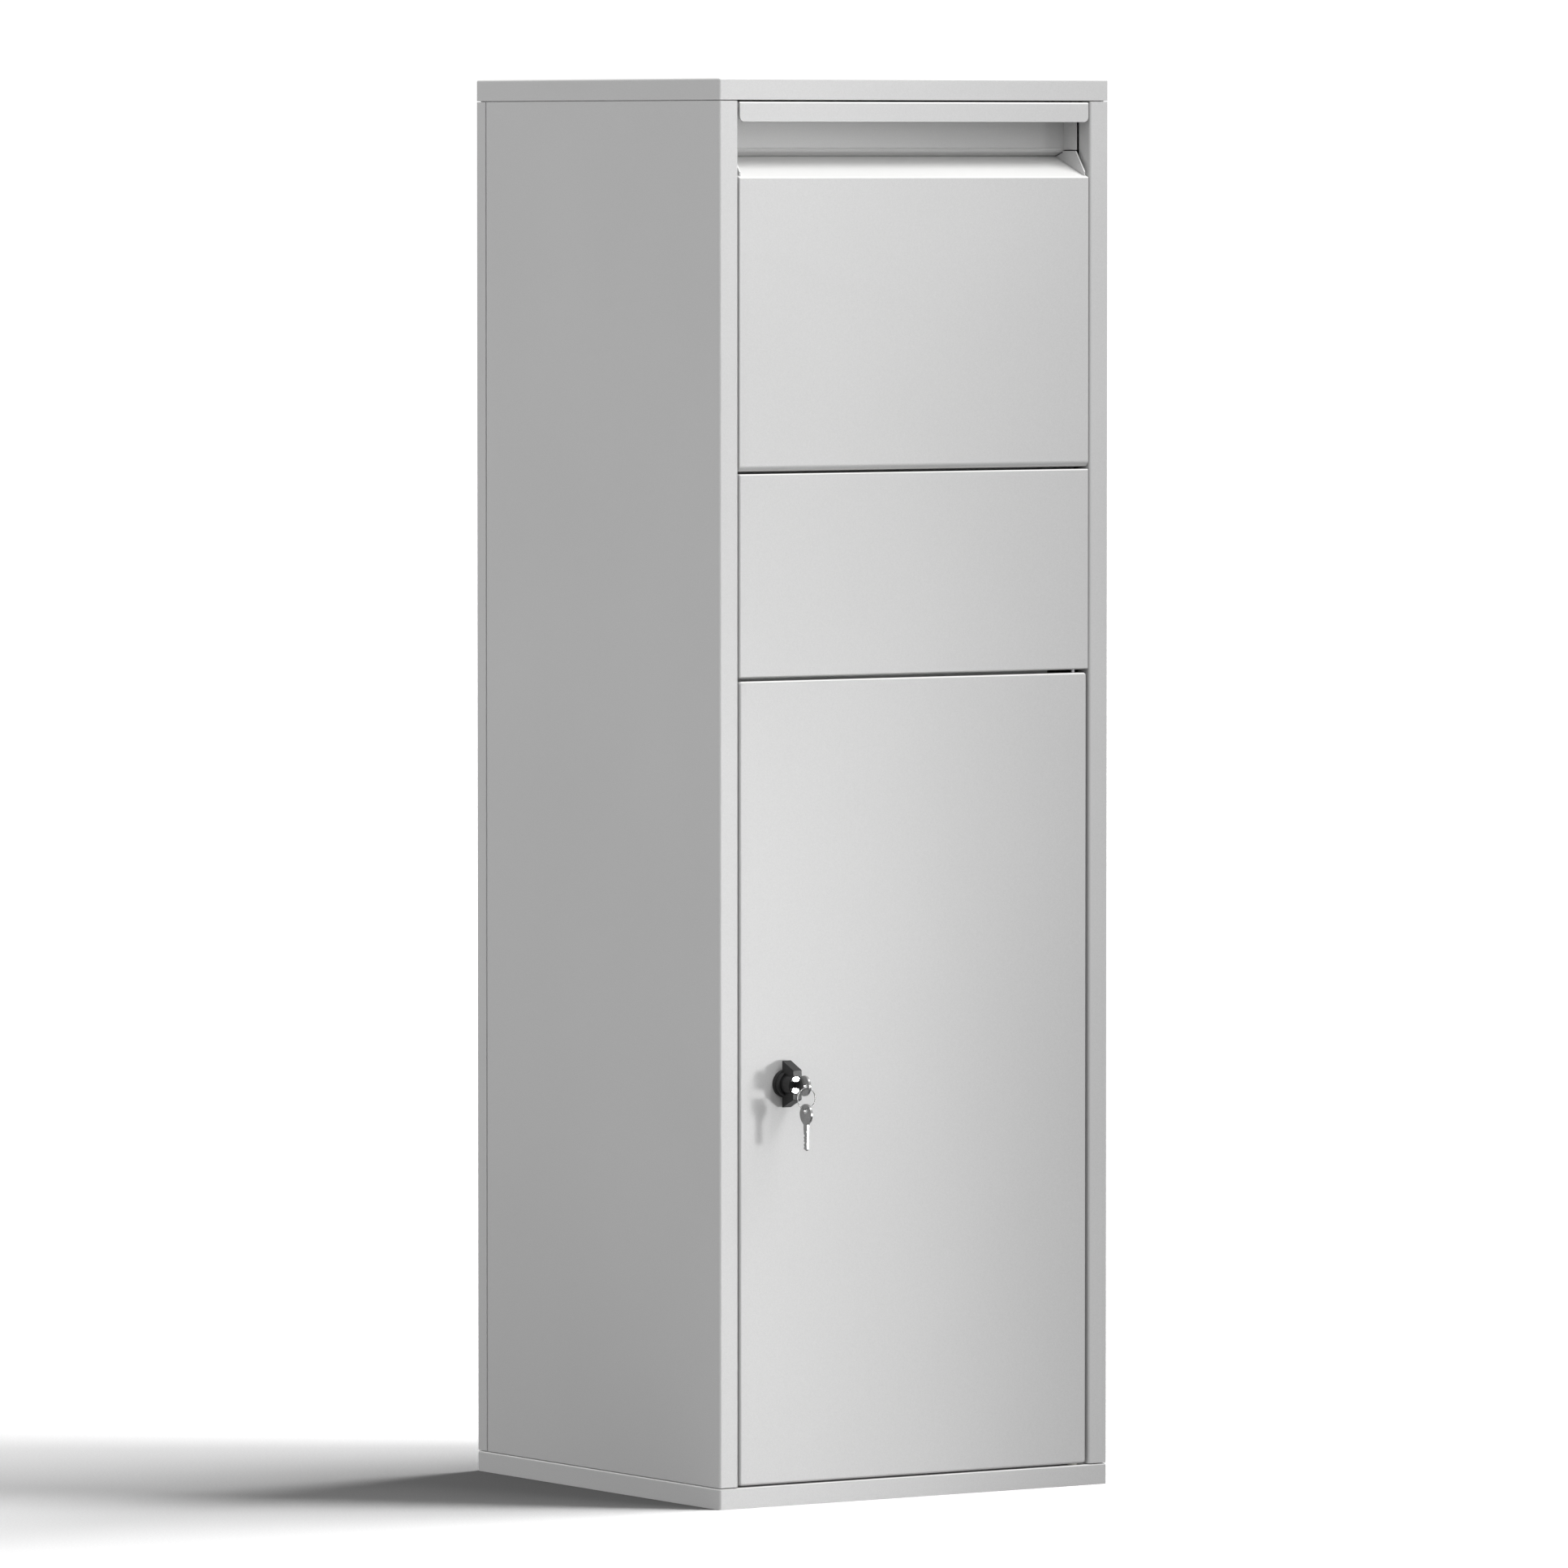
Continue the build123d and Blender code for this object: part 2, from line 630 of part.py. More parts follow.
def door_bush(upper):
    """Flanged nylon bush in the door's top or bottom return."""
    skin_z = door_top if upper else door_bottom
    inward = -1 if upper else 1
    body = rod((hinge_x, hinge_y, skin_z + inward * 0.1), (0, 0, inward), door_bush_radius, sheet + 1.5)
    flange = rod((hinge_x, hinge_y, skin_z + inward * (sheet + gap)), (0, 0, inward), 5.5, 1.6)
    return body + flange - rod((hinge_x, hinge_y, 0), (0, 0, 1), pin_hole, height)


def out(distance):
    """Y of a point so far in front of the door's face."""
    return front - distance


def lock_rod(start, end, radius):
    """Cylinder on the lock's axis between two distances in front of the door's face."""
    return rod((knob_x, out(start), knob_z), (0, -1, 0), radius, end - start)


spindle_radius = 6.5


def lock_rosette():
    """Round base of the knob: a disc on the door with a sleeve through it for the spindle."""
    disc = lock_rod(gap, 3.4, 11.9)
    disc = fillet(disc.edges().group_by(Axis.Y)[0], 1.2)
    return disc + lock_rod(-13, 1, sleeve_radius) - lock_rod(-20, 10, spindle_radius + gap)


def lock_nut():
    """Large thin nut that clamps the rosette's sleeve from inside the door."""
    body = extrude(RegularPolygon(13.5, 6), amount=4.0)
    return place(body - Cylinder(sleeve_radius + gap, cut), (knob_x, front + sheet + gap, knob_z), (0, 1, 0))


# ---- knob, latch, lock plug and keys ----------------------------------------------------------------

knob_back = 3.5
knob_front = 20.4
plug_face = 17.9
plug_radius = 7.3
tail_radius = 5.0
tail_end = -3.0


def knob():
    """Black wing knob: a tapering wing across a round housing bored for the lock plug."""
    half_width = 4.45
    taper = ((knob_back, 20.0), (knob_front - 1.6, 13.2), (knob_front, 12.4))  # distance out, half height
    wing = outline(
        *((out(distance), knob_z - half_height) for distance, half_height in taper),
        *((out(distance), knob_z + half_height) for distance, half_height in reversed(taper)),
    )
    body = across(wing, knob_x - half_width, knob_x + half_width)
    body = fillet(body.edges().filter_by(lambda edge: edge.length > 8), 0.5)
    housing = lock_rod(knob_back, knob_front, 8.8)
    housing = fillet(housing.edges().group_by(Axis.Y)[0], 0.5)
    shoulder = lock_rod(knob_back, knob_back + 4.5, 11.0)
    shoulder = fillet(shoulder.edges().group_by(Axis.Y)[0], 1.5)
    body += [housing, shoulder]
    body -= lock_rod(8.0, 30, plug_radius + 0.1)
    body -= lock_rod(0, 10, tail_radius + gap)
    return body - lock_rod(knob_back - 1, 6.0, spindle_radius + gap)


def knob_spindle():
    """Steel spindle: a cup moulded into the knob round the plug's tail, ending in a square for the cam."""
    body = lock_rod(-18, 5.9, spindle_radius)
    body -= lock_rod(tail_end - 0.5, 10, tail_radius + gap)
    square = block(knob_x - 4, knob_x + 4, front + 17.5, front + 23.5, knob_z - 4, knob_z + 4)
    return body + square + lock_rod(-30, -22, 3.0)


def latch_cam():
    """Flat cam on the spindle's square: upright it is free, and flat it lies behind the keeper."""
    arm = outline((-8, 11), (8, 11), (8, 0), (6.5, -54), (-6.5, -54), (-8, 0))
    arm = fillet(arm.vertices(), 4)
    plate = extrude(arm - Rectangle(8.1, 8.1), amount=2.5)
    turned = Plane(origin=(knob_x, front + 21.7, knob_z), x_dir=(1, 0, 0), z_dir=(0, -1, 0))
    return turned.location * plate


def cam_nut():
    """Nut that holds the cam on the spindle."""
    return hex_nut((knob_x, front + 23.6, knob_z), (0, 1, 0), 3.0)


band_half = 2.9
band_depth = 1.15
keyway_half = 1.2
keyway_height = 2.8


def lock_block(half_width, start, end, half_height):
    """Block centred on the lock's axis between two distances in front of the door's face."""
    size = Box(2 * half_width, end - start, 2 * half_height)
    return Pos(knob_x, out((start + end) / 2), knob_z) * size


def lock_plug():
    """Bright lock cylinder with a cross band cut in its face for the dark keyway guard."""
    body = lock_rod(8.1, plug_face, plug_radius)
    body = fillet(body.edges().group_by(Axis.Y)[0], 0.4)
    body += lock_rod(tail_end, 9, tail_radius)
    body -= lock_block(2 * plug_radius, plug_face - band_depth - gap, plug_face + 1, band_half)
    body -= lock_block(keyway_half, 0.2, plug_face + 1, keyway_height)
    for side in both:
        body -= rod((knob_x, out(plug_face + 1), knob_z + side * 3.9), (0, 1, 0), 0.7, 2.2)
    return body


def keyway_guard():
    """Dark band across the plug's face, slotted for the key."""
    strip = lock_block(2 * plug_radius, plug_face - band_depth, plug_face, band_half - gap)
    strip &= lock_rod(10, 30, plug_radius - gap)
    return strip - lock_block(keyway_half, 0, 30, keyway_height)


key_length = 39.3
key_thickness = 2.0
neck_start = 17.2
bow_start = 21.8
bow_radius = 8.6
bow_centre = key_length - bow_radius
key_hole = key_length - 6.0
key_hole_radius = 2.3


def key_blank():
    """Flat cut key lying along X from its tip, its bow rounded and drawn in to the neck."""
    neck_half = 2.85
    blade_half = 2.5
    shoulder = Line((bow_start, -neck_half), (bow_start, neck_half))
    bow = make_hull((Pos(bow_centre, 0) * Circle(bow_radius)).edges() + shoulder.edges())
    neck = Pos((neck_start + bow_start + 1) / 2, 0) * Rectangle(bow_start + 1 - neck_start, 2 * neck_half)
    blade = outline(
        (0, 1.0),
        (1.6, -blade_half),
        (neck_start + 1, -blade_half),
        (neck_start + 1, blade_half),
        (1.4, blade_half),
    )
    key = bow + neck + blade
    for bite_x, bite in ((3.6, 1.1), (6.6, 1.7), (9.6, 0.9), (12.6, 1.5)):
        notch = outline((-1.3, -0.1), (-0.3, bite), (0.3, bite), (1.3, -0.1))
        key -= Pos(bite_x, -blade_half) * notch
    key -= Pos(key_hole, 0) * Circle(key_hole_radius)
    solid = extrude(Pos(0, 0, -key_thickness / 2) * key, amount=key_thickness)
    groove = block(1.5, neck_start, 0.1, 0.9, key_thickness / 2 - 0.4, key_thickness)
    return solid - groove


ring_radius = 8.8
ring_wire = 0.45
ring_y = out(0.7 + key_hole)
ring_z = knob_z - key_hole_radius + ring_wire + 0.12 - ring_radius


def inserted_key():
    """Key pushed home in the plug, its bow upright."""
    lying = Plane(origin=(knob_x, out(0.7), knob_z), x_dir=(0, -1, 0), z_dir=(1, 0, 0))
    return lying.location * key_blank()


def key_ring():
    """Wire ring through both keys' holes."""
    return Plane(origin=(knob_x, ring_y, ring_z), z_dir=(0, 1, 0)).location * Torus(ring_radius, ring_wire)


def spare_key():
    """Second key, hanging from the ring."""
    hole_z = ring_z - ring_radius + ring_wire + 0.12 - key_hole_radius
    hanging = Plane(origin=(knob_x, ring_y, hole_z - key_hole), x_dir=(0, 0, 1), z_dir=(1, 0, 0))
    return hanging.location * key_blank()


# ---- write every piece -----------------------------------------------------------------------------

left_panel = side_panel()
save("base_tray", base_tray())
save("top_cover", top_cover())
save("side_panel_left", left_panel)
save("side_panel_right", mirror(left_panel, about=Plane.YZ))
save("rear_panel", rear_panel())
save("middle_panel", middle_panel())
save("lintel", lintel())
save("fishing_guard", fishing_guard())
save("latch_keeper", latch_keeper())
save("drawer_stop_brackets", *(drawer_stop_bracket(s) for s in both))
save("drawer_buffers", *(drawer_buffer(s) for s in both))
save("door_buffers", *door_buffers())
save("floor_mat", floor_mat())
shell_fasteners()
rear_fasteners()
middle_fasteners()
save("door_pin_upper", door_pin_upper())
save("door_pin_lower", door_pin_lower())
save("door_thrust_washer", door_thrust_washer())
save("drawer_bushes", *(drawer_bush(s) for s in both))
save("drawer_front", drawer_front())
save("grip_channel", grip_channel())
save("grip_end_left", grip_end(-1))
save("grip_end_right", grip_end(1))
save("drawer_cheek_left", drawer_cheek(-1))
save("drawer_cheek_right", drawer_cheek(1))
save("drawer_tray", drawer_tray())
save("tray_rivets", *tray_rivets())
save("drawer_pivot_pins", *(drawer_pivot_pin(s) for s in both))
save("drawer_stop_studs", *(drawer_stop_stud(s) for s in both))
save("drawer_stop_sleeves", *(drawer_stop_sleeve(s) for s in both))
save("door_shell", door_shell())
save("door_stiffener", door_stiffener())
save("door_bushes", door_bush(True), door_bush(False))
save("lock_rosette", lock_rosette())
save("lock_nut", lock_nut())
save("knob", knob())
save("knob_spindle", knob_spindle())
save("latch_cam", latch_cam())
save("cam_nut", cam_nut())
save("lock_plug", lock_plug())
save("keyway_guard", keyway_guard())
save("inserted_key", inserted_key())
save("key_ring", key_ring())
save("spare_key", spare_key())
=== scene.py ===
import json
import math

import bmesh
import bpy
from mathutils import Euler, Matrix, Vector


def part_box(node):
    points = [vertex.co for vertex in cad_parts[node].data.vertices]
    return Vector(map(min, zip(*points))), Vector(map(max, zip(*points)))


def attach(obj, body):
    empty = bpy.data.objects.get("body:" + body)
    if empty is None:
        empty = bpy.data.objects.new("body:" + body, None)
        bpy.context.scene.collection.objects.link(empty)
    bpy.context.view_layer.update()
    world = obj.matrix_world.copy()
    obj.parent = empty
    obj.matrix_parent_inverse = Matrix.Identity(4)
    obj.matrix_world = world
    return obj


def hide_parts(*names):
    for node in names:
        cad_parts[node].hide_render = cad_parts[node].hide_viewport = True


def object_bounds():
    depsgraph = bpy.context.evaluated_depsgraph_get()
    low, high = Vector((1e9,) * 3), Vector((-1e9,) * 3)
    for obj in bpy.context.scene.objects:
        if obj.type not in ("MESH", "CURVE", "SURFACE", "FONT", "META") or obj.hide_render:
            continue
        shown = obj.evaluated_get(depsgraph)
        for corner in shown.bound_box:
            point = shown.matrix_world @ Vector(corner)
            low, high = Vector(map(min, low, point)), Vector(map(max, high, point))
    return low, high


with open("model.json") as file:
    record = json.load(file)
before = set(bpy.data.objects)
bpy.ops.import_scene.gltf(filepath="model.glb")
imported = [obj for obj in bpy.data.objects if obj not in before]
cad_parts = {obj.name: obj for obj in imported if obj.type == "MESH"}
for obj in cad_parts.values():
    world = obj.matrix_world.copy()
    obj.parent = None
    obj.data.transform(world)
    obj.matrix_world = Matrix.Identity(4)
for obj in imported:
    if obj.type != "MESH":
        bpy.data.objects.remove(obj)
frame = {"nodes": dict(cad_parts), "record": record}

cad_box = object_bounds()
MM = 0.001


# ---- node helpers ------------------------------------------------------------------------------------


class Finish:
    """A node material with one Principled shader and short calls for what the finishes share."""

    def __init__(self, name):
        self.material = bpy.data.materials.new(name)
        self.material.use_nodes = True
        self.nodes = self.material.node_tree.nodes
        self.links = self.material.node_tree.links
        self.shader = self.nodes["Principled BSDF"]
        self.place = self.nodes.new("ShaderNodeTexCoord").outputs["Object"]

    def link(self, source, target):
        self.links.new(source, target)

    def set(self, **values):
        for label, value in values.items():
            self.shader.inputs[label.replace("_", " ")].default_value = value

    def noise(self, size, detail, stretch=(1, 1, 1)):
        """Noise whose features are about size metres across, stretched along the given axes."""
        mapping = self.nodes.new("ShaderNodeMapping")
        mapping.inputs["Scale"].default_value = [1 / (size * s) for s in stretch]
        self.link(self.place, mapping.inputs["Vector"])
        node = self.nodes.new("ShaderNodeTexNoise")
        node.inputs["Scale"].default_value = 1.0
        node.inputs["Detail"].default_value = detail
        self.link(mapping.outputs["Vector"], node.inputs["Vector"])
        return node.outputs["Fac"]

    def spread(self, value, low, high, start=0.0, end=1.0):
        """value mapped from start..end to low..high."""
        node = self.nodes.new("ShaderNodeMapRange")
        for label, number in (("From Min", start), ("From Max", end), ("To Min", low), ("To Max", high)):
            node.inputs[label].default_value = number
        self.link(value, node.inputs["Value"])
        return node.outputs["Result"]

    def maths(self, operation, a, b):
        """Result of a Math node on a and b, which are numbers or sockets."""
        node = self.nodes.new("ShaderNodeMath")
        node.operation = operation
        for socket, value in zip(node.inputs, (a, b)):
            if isinstance(value, (int, float)):
                socket.default_value = value
            else:
                self.link(value, socket)
        return node.outputs[0]

    def mix(self, factor, a, b):
        """Colour mix; factor is a socket, and a and b are colours or sockets."""
        node = self.nodes.new("ShaderNodeMix")
        node.data_type = "RGBA"
        sockets = (node.inputs[0], node.inputs[6], node.inputs[7])
        for socket, value in zip(sockets, (factor, a, b)):
            if isinstance(value, tuple):
                socket.default_value = (*value, 1.0)
            else:
                self.link(value, socket)
        return node.outputs[2]

    def edges(self, radius):
        """1 along edges that turn sharply, 0 on flat faces, and the normal rounded over that radius."""
        bevel = self.nodes.new("ShaderNodeBevel")
        bevel.samples = 4
        bevel.inputs["Radius"].default_value = radius
        geometry = self.nodes.new("ShaderNodeNewGeometry")
        dot = self.nodes.new("ShaderNodeVectorMath")
        dot.operation = "DOT_PRODUCT"
        self.link(bevel.outputs["Normal"], dot.inputs[0])
        self.link(geometry.outputs["Normal"], dot.inputs[1])
        return self.spread(dot.outputs["Value"], 1.0, 0.0, 0.75, 0.99), bevel.outputs["Normal"]

    def facing_up(self, start, end):
        """0 on upright faces, rising to 1 as the surface turns up from start to end (sine of its rise)."""
        geometry = self.nodes.new("ShaderNodeNewGeometry")
        split = self.nodes.new("ShaderNodeSeparateXYZ")
        self.link(geometry.outputs["Normal"], split.inputs[0])
        return self.spread(split.outputs["Z"], 0.0, 1.0, start, end)

    def bump(self, height, strength, distance, under=None):
        node = self.nodes.new("ShaderNodeBump")
        node.inputs["Strength"].default_value = strength
        node.inputs["Distance"].default_value = distance
        self.link(height, node.inputs["Height"])
        if under is not None:
            self.link(under, node.inputs["Normal"])
        return node.outputs["Normal"]


def powder_coat(name, tone):
    """Satin powder coat: fine grain, orange peel, edges rubbed lighter, and a painted highlight that
    lightens upward-facing faces towards a pale colour.
    """
    finish = Finish(name)
    grain = finish.noise(0.9 * MM, detail=3.0)
    peel = finish.noise(6 * MM, detail=2.0)
    cloud = finish.noise(220 * MM, detail=2.0)
    worn, rounded = finish.edges(0.5 * MM)
    speckle = finish.spread(grain, 0.955, 1.045, start=0.25, end=0.75)
    drift = finish.spread(cloud, 0.985, 1.015, start=0.3, end=0.7)
    value = finish.maths("MULTIPLY", finish.maths("MULTIPLY", speckle, drift), tone)
    colour = finish.nodes.new("ShaderNodeCombineColor")
    for channel in colour.inputs[:3]:
        finish.link(value, channel)
    lighter = (min(1.0, 1.25 * tone),) * 3
    rubbed = finish.mix(finish.maths("MULTIPLY", worn, 0.5), colour.outputs[0], lighter)
    # Painted highlight: faces that turn up are mixed patchily towards a pale colour, standing in for light
    # falling from above.
    painted_top_light_strength = finish.spread(cloud, 0.88, 0.98, start=0.3, end=0.7)
    painted_top_light = finish.maths("MULTIPLY", finish.facing_up(0.3, 0.7), painted_top_light_strength)
    painted_top_light_colour = (0.90, 0.90, 0.89)
    finish.link(finish.mix(painted_top_light, rubbed, painted_top_light_colour), finish.shader.inputs["Base Color"])
    finish.link(finish.spread(grain, 0.33, 0.43), finish.shader.inputs["Roughness"])
    skin = finish.bump(peel, strength=0.10, distance=0.25 * MM, under=rounded)
    surface = finish.bump(grain, strength=0.30, distance=0.06 * MM, under=skin)
    finish.link(surface, finish.shader.inputs["Normal"])
    finish.set(Specular_IOR_Level=0.5)
    return finish.material


def plated_steel(name, tone, roughness, blue=1.0, scratch=0.05):
    """Plated steel: clouded sheen and fine drawn lines, polished brighter along the edges."""
    finish = Finish(name)
    lines = finish.noise(0.25 * MM, detail=4.0, stretch=(1, 1, 14))
    cloud = finish.noise(7 * MM, detail=3.0)
    worn, rounded = finish.edges(0.25 * MM)
    dull = tuple(tone * shade for shade in (0.90, 0.90, 0.90 * blue))
    clean = tuple(tone * shade for shade in (1.0, 1.0, blue))
    body = finish.mix(finish.spread(cloud, 0.0, 1.0, start=0.3, end=0.7), dull, clean)
    bright = tuple(min(1.0, 1.15 * channel) for channel in clean)
    finish.link(finish.mix(worn, body, bright), finish.shader.inputs["Base Color"])
    finish.link(finish.spread(lines, roughness * 0.8, roughness * 1.25), finish.shader.inputs["Roughness"])
    surface = finish.bump(lines, strength=scratch, distance=0.05 * MM, under=rounded)
    finish.link(surface, finish.shader.inputs["Normal"])
    finish.set(Metallic=1.0)
    return finish.material


def moulded_plastic(name, colour, roughness, grain_size, grain_depth):
    """Moulded plastic or rubber: fine spark-eroded grain, a little rubbed along the edges."""
    finish = Finish(name)
    grain = finish.noise(grain_size, detail=3.0)
    cloud = finish.noise(20 * MM, detail=2.0)
    worn, rounded = finish.edges(0.4 * MM)
    darker = tuple(0.85 * channel for channel in colour)
    lighter = tuple(min(1.0, 1.35 * channel + 0.008) for channel in colour)
    body = finish.mix(finish.spread(cloud, 0.0, 1.0, start=0.3, end=0.7), darker, colour)
    rubbed = finish.mix(finish.maths("MULTIPLY", worn, 0.6), body, lighter)
    finish.link(rubbed, finish.shader.inputs["Base Color"])
    finish.link(finish.spread(grain, roughness - 0.05, roughness + 0.08), finish.shader.inputs["Roughness"])
    surface = finish.bump(grain, strength=0.5, distance=grain_depth, under=rounded)
    finish.link(surface, finish.shader.inputs["Normal"])
    return finish.material


finishes = {
    "powder_coat": powder_coat("powder_coat", tone=0.58),
    "zinc_steel": plated_steel("zinc_steel", tone=0.62, roughness=0.32, blue=1.04),
    "bright_chrome": plated_steel("bright_chrome", tone=0.85, roughness=0.10, blue=1.01, scratch=0.01),
    "key_steel": plated_steel("key_steel", tone=0.42, roughness=0.26),
    "black_plastic": moulded_plastic(
        "black_plastic", (0.006, 0.006, 0.0065), roughness=0.36, grain_size=0.5 * MM, grain_depth=0.03 * MM
    ),
    "nylon": moulded_plastic(
        "nylon", (0.74, 0.72, 0.66), roughness=0.45, grain_size=0.8 * MM, grain_depth=0.02 * MM
    ),
    "rubber": moulded_plastic(
        "rubber", (0.022, 0.022, 0.023), roughness=0.70, grain_size=0.7 * MM, grain_depth=0.05 * MM
    ),
}


# ---- carried-over CAD nodes ----------------------------------------------------------------------------


def dress(piece, slot):
    """Gives a carried-over piece the finish of its slot; the frame's own normals keep bends smooth."""
    piece.data.materials.clear()
    piece.data.materials.append(finishes[slot])


for entry in frame["record"]["subparts"]:
    dress(frame["nodes"][entry["node"]], entry["material_slot"])


# ---- rubber mat ------------------------------------------------------------------------------------------


def rounded_outline(low, high, radius, steps=6):
    """Points round a rectangle whose corners are arcs."""
    points = []
    corners = ((high.x, high.y), (low.x, high.y), (low.x, low.y), (high.x, low.y))
    for quarter, (x, y) in enumerate(corners):
        inward = Vector((-1 if x == high.x else 1, -1 if y == high.y else 1)) * radius
        for step in range(steps + 1):
            turn = math.radians(90 * (quarter + step / steps))
            points.append((x + inward.x + radius * math.cos(turn), y + inward.y + radius * math.sin(turn)))
    return points


def circle_outline(centre, radius, steps=40):
    turns = [2 * math.pi * step / steps for step in range(steps)]
    return [(centre.x + radius * math.cos(turn), centre.y + radius * math.sin(turn)) for turn in turns]


def sheet_with_holes(name, outlines, low_z, high_z, edge):
    """Flat sheet inside the first outline, open at the others, with its edges rounded over."""
    curve = bpy.data.curves.new(name, "CURVE")
    curve.dimensions = "2D"
    curve.fill_mode = "BOTH"
    curve.extrude = (high_z - low_z) / 2 - edge
    curve.bevel_depth = edge
    curve.bevel_resolution = 2
    curve.offset = -edge
    for outline in outlines:
        spline = curve.splines.new("POLY")
        spline.points.add(len(outline) - 1)
        for point, (x, y) in zip(spline.points, outline):
            point.co = (x, y, 0, 1)
        spline.use_cyclic_u = True
    holder = bpy.data.objects.new(name, curve)
    holder.location.z = (low_z + high_z) / 2
    bpy.context.scene.collection.objects.link(holder)
    bpy.context.view_layer.update()
    evaluated = holder.evaluated_get(bpy.context.evaluated_depsgraph_get())
    mesh = bpy.data.meshes.new_from_object(evaluated)
    mesh.transform(holder.matrix_world)
    bpy.data.objects.remove(holder)
    return mesh


def open_stretches(x, low_y, high_y, holes, clear):
    """The stretches of a line along Y at x that keep clear of the holes by that radius."""
    cuts = []
    for hole in holes:
        if abs(x - hole.x) < clear:
            half = math.sqrt(clear ** 2 - (x - hole.x) ** 2)
            cuts.append((hole.y - half, hole.y + half))
    starts = [low_y] + [end for _, end in sorted(cuts)]
    ends = [start for start, _ in sorted(cuts)] + [high_y]
    return list(zip(starts, ends))


def add_rib(mesh, x, start, end, foot, width, rise):
    """Low rib along Y with sloping flanks and ends."""
    rings = []
    for z, half, inset in ((foot, width / 2, 0), (foot + rise, width / 3, rise)):
        near = start + inset
        far = end - inset
        corners = ((x - half, near), (x + half, near), (x + half, far), (x - half, far))
        rings.append([mesh.verts.new((corner_x, corner_y, z)) for corner_x, corner_y in corners])
    foot_ring, top_ring = rings
    mesh.faces.new(top_ring)
    mesh.faces.new(reversed(foot_ring))
    for k in range(4):
        after = (k + 1) % 4
        mesh.faces.new((foot_ring[k], foot_ring[after], top_ring[after], top_ring[k]))


def ribbed_mat(holes, hole_radius):
    """Ribbed rubber mat with a plain border, open over the floor anchors."""
    low, high = (Vector(corner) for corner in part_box("floor_mat"))
    corner_radius = 6 * MM
    edge_radius = 0.5 * MM
    rise = 1.1 * MM
    border = 9 * MM
    pitch = 8 * MM
    clear = hole_radius + 3 * MM
    outlines = [rounded_outline(low, high, corner_radius)]
    outlines += [circle_outline(hole, hole_radius) for hole in holes]
    mesh = sheet_with_holes("ribbed_mat", outlines, low.z, high.z - rise, edge_radius)
    ribs = bmesh.new()
    ribs.from_mesh(mesh)
    count = int((high.x - low.x - 2 * border) / pitch)
    for step in range(count + 1):
        x = (low.x + high.x) / 2 + (step - count / 2) * pitch
        for start, end in open_stretches(x, low.y + border, high.y - border, holes, clear):
            add_rib(ribs, x, start, end, high.z - rise, pitch / 2, rise)
    ribs.to_mesh(mesh)
    ribs.free()
    mesh.materials.append(finishes["rubber"])
    mat = bpy.data.objects.new("ribbed_mat", mesh)
    bpy.context.scene.collection.objects.link(mat)
    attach(mat, "cabinet")
    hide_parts("floor_mat")


def anchor_places():
    """Centres of the four floor anchors, from the record's bolt pattern."""
    pattern = next(mount["dims"] for mount in frame["record"]["mounts"] if mount["name"] == "floor_anchors")
    half_x = pattern["spacing_x_mm"] * MM / 2
    half_y = pattern["spacing_y_mm"] * MM / 2
    return [Vector((x, y)) for x in (-half_x, half_x) for y in (-half_y, half_y)]


ribbed_mat(anchor_places(), 14 * MM)


# ---- studio --------------------------------------------------------------------------------------------

BOX_FRONT = cad_box[0][1]


def direction(azimuth, elevation=0.0):
    """Unit vector towards an azimuth right of the front's normal and an elevation, in degrees."""
    turn = math.radians(azimuth)
    rise = math.radians(elevation)
    return Vector((math.sin(turn) * math.cos(rise), -math.cos(turn) * math.cos(rise), math.sin(rise)))


def add_light(name, kind, place, target, power):
    data = bpy.data.lights.new(name, kind)
    data.energy = power
    light = bpy.data.objects.new(name, data)
    light.location = place
    light.rotation_euler = (Vector(target) - Vector(place)).to_track_quat("-Z", "Y").to_euler()
    bpy.context.scene.collection.objects.link(light)
    return light


def softbox(name, place, target, size, power, spread=180.0):
    """Rectangular soft light; spread is the angle of its beam in degrees."""
    light = add_light(name, "AREA", place, target, power)
    light.data.shape = "RECTANGLE"
    light.data.size, light.data.size_y = size
    light.data.spread = math.radians(spread)
    return light


def strip_light(past_floor, name, height, length, power):
    """Upright strip whose narrow beam brightens the front's left half and fades to its right.

    It stands a little below what it lights, and the floor doesn't block it.
    """
    target = Vector((-0.25, BOX_FRONT, height))
    place = target + 2.4 * direction(azimuth=37, elevation=-5)
    strip = softbox(name, place, target, (0.5, length), power, spread=13)
    strip.light_linking.blocker_collection = past_floor


def floor_wash(floor_only, name, towards, softness, strength):
    """Broad light for the floor alone, so that it stays white around a soft shadow of the box."""
    light = add_light(name, "SUN", towards, (0, 0, 0), math.pi * strength / towards.z)
    light.data.angle = math.radians(softness)
    light.light_linking.receiver_collection = floor_only


def studio_lights(floor_only, past_floor):
    strip_light(past_floor, "key", height=0.60, length=1.9, power=0.64)
    strip_light(past_floor, "key_low", height=0.22, length=1.0, power=0.17)
    softbox("top_front", (0.9, -1.6, 3.1), target=(0, 0, 0.9), size=(1.5, 1.0), power=50)
    middle = Vector((0, 0, 0.7))
    softbox("left", middle + 2.6 * direction(azimuth=-100), middle, size=(1.0, 1.6), power=2.8, spread=100)
    floor_wash(floor_only, "floor_wash_high", direction(azimuth=84, elevation=42), softness=42, strength=4.2)
    floor_wash(floor_only, "floor_wash_low", direction(azimuth=50, elevation=15), softness=20, strength=2.8)


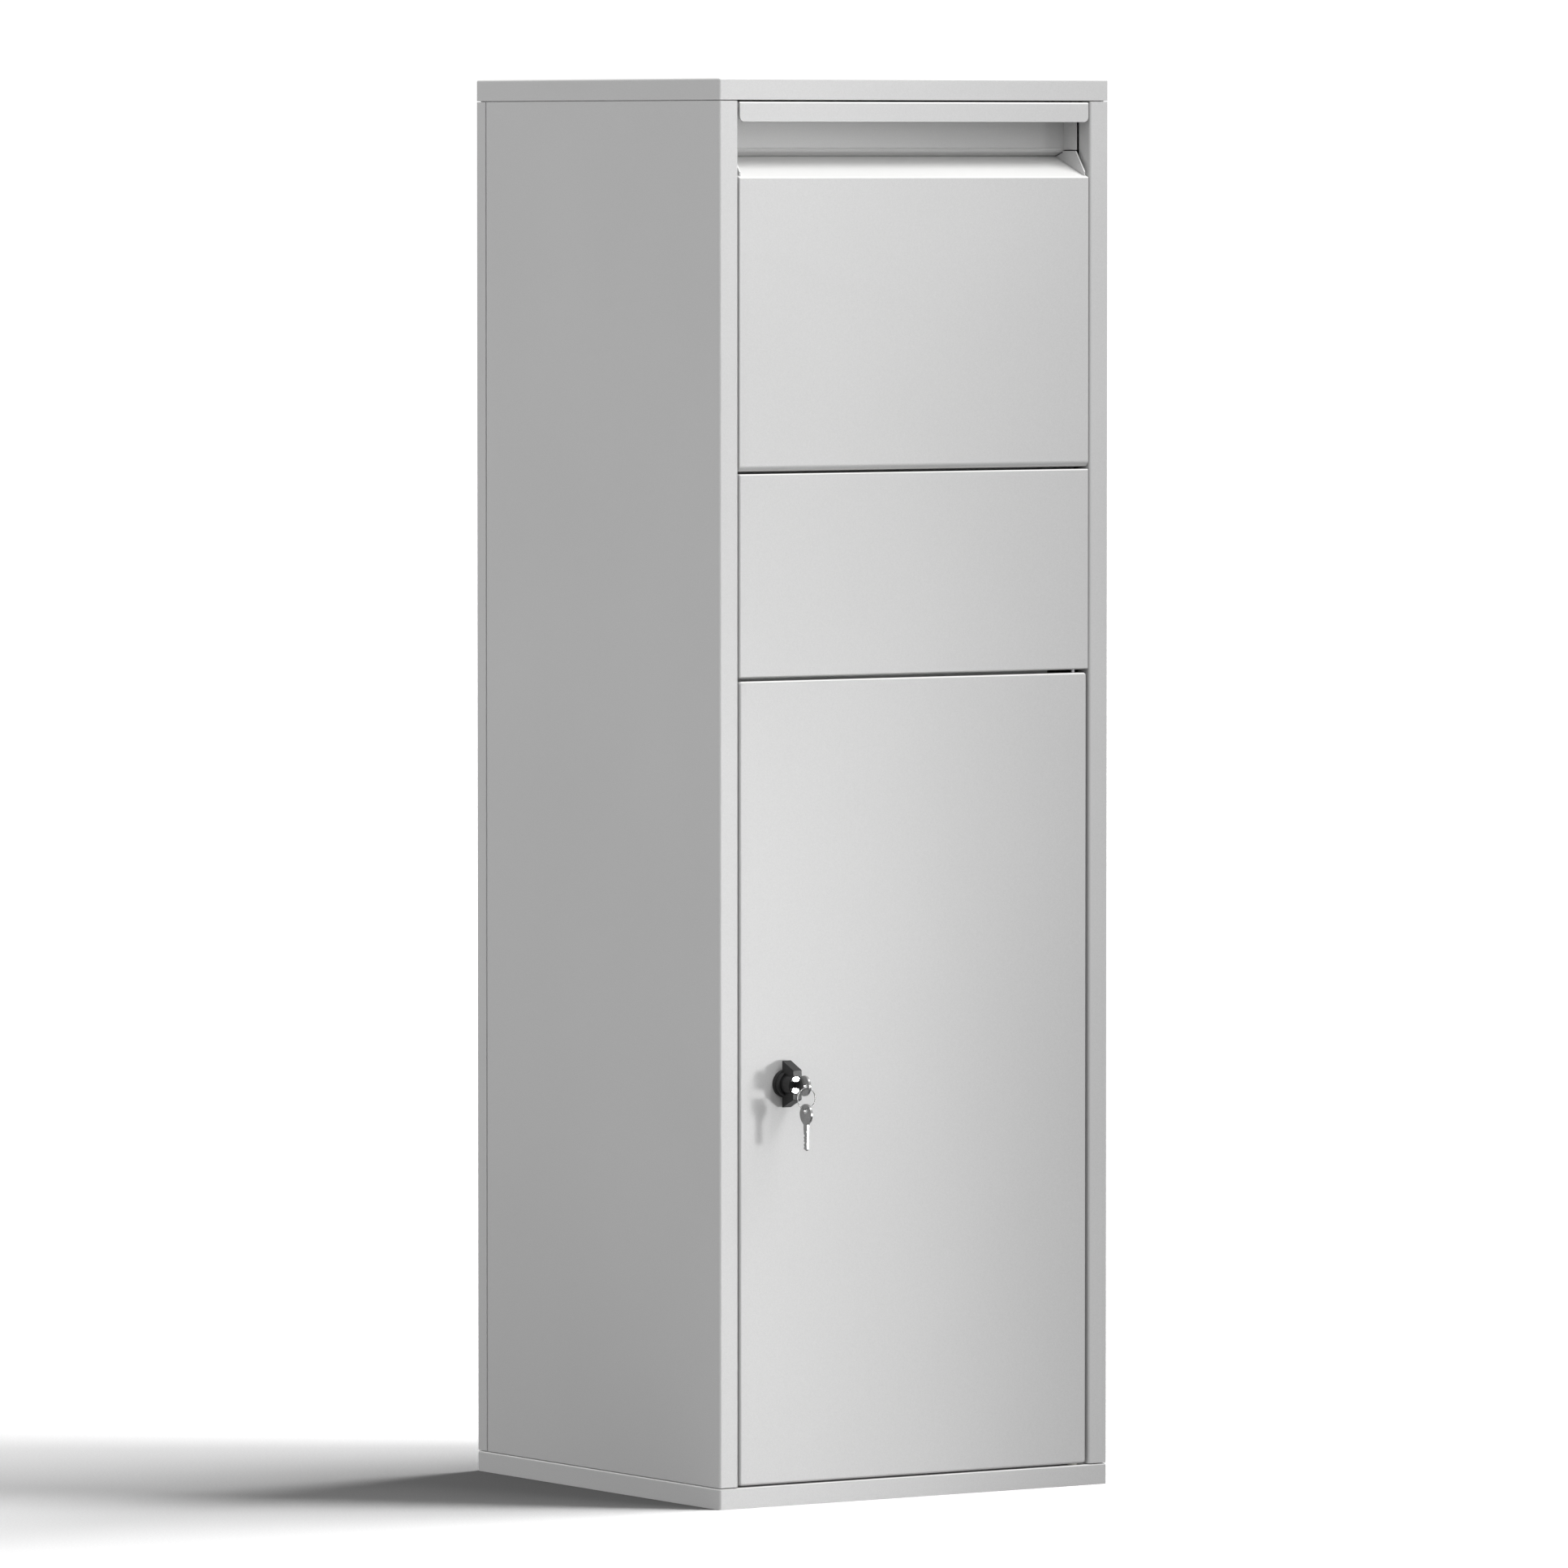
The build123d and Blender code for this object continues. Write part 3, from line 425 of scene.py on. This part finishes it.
def studio_floor():
    """Pale floor, exposed for white where the camera sees it and darker for the light it sends back."""
    bpy.ops.mesh.primitive_grid_add(x_subdivisions=2, y_subdivisions=2, size=60, location=(0, 0, 0))
    floor = bpy.context.object
    floor.name = "studio_floor"
    finish = Finish("studio_floor")
    finish.set(Roughness=1.0, Specular_IOR_Level=0.0)
    fleck = finish.noise(2 * MM, detail=2.0)
    seen = finish.mix(fleck, (0.13, 0.13, 0.13), (0.18, 0.18, 0.18))
    sent_back = (0.03, 0.03, 0.03)
    path = finish.nodes.new("ShaderNodeLightPath")
    colour = finish.mix(path.outputs["Is Camera Ray"], sent_back, seen)
    finish.link(colour, finish.shader.inputs["Base Color"])
    floor.data.materials.append(finish.material)
    return floor


def floor_collections(floor):
    """A collection of the floor alone, and one that leaves the floor out of what blocks a light."""
    floor_only = bpy.data.collections.new("floor_only")
    floor_only.objects.link(floor)
    past_floor = bpy.data.collections.new("past_floor")
    past_floor.objects.link(floor)
    past_floor.collection_objects[0].light_linking.link_state = "EXCLUDE"
    return floor_only, past_floor


def studio_world(strength, seen_strength):
    """White surround that lights the scene at one strength and is seen by the camera at another."""
    world = bpy.data.worlds.new("studio")
    bpy.context.scene.world = world
    world.use_nodes = True
    nodes = world.node_tree.nodes
    links = world.node_tree.links
    surround = nodes["Background"]
    seen = nodes.new("ShaderNodeBackground")
    for shader, value in ((surround, strength), (seen, seen_strength)):
        shader.inputs["Color"].default_value = (1, 1, 1, 1)
        shader.inputs["Strength"].default_value = value
    path = nodes.new("ShaderNodeLightPath")
    mix = nodes.new("ShaderNodeMixShader")
    links.new(path.outputs["Is Camera Ray"], mix.inputs[0])
    links.new(surround.outputs[0], mix.inputs[1])
    links.new(seen.outputs[0], mix.inputs[2])
    links.new(mix.outputs[0], nodes["World Output"].inputs["Surface"])


def camera(place, azimuth, elevation):
    """Long lens at place, seeing the object from an azimuth right of the front's normal and an elevation."""
    data = bpy.data.cameras.new("camera")
    data.lens = 293.36
    data.sensor_width = 36.0
    data.clip_end = 100
    view = bpy.data.objects.new("camera", data)
    view.location = place
    view.rotation_euler = Euler((math.radians(90 - elevation), 0, math.radians(azimuth)))
    bpy.context.scene.collection.objects.link(view)
    bpy.context.scene.camera = view


studio_world(strength=0.82, seen_strength=1.1)
studio_lights(*floor_collections(studio_floor()))
camera((-5.9788, -9.1681, 1.1372), azimuth=-33.08, elevation=2.827)
bpy.context.scene.view_settings.view_transform = "Standard"
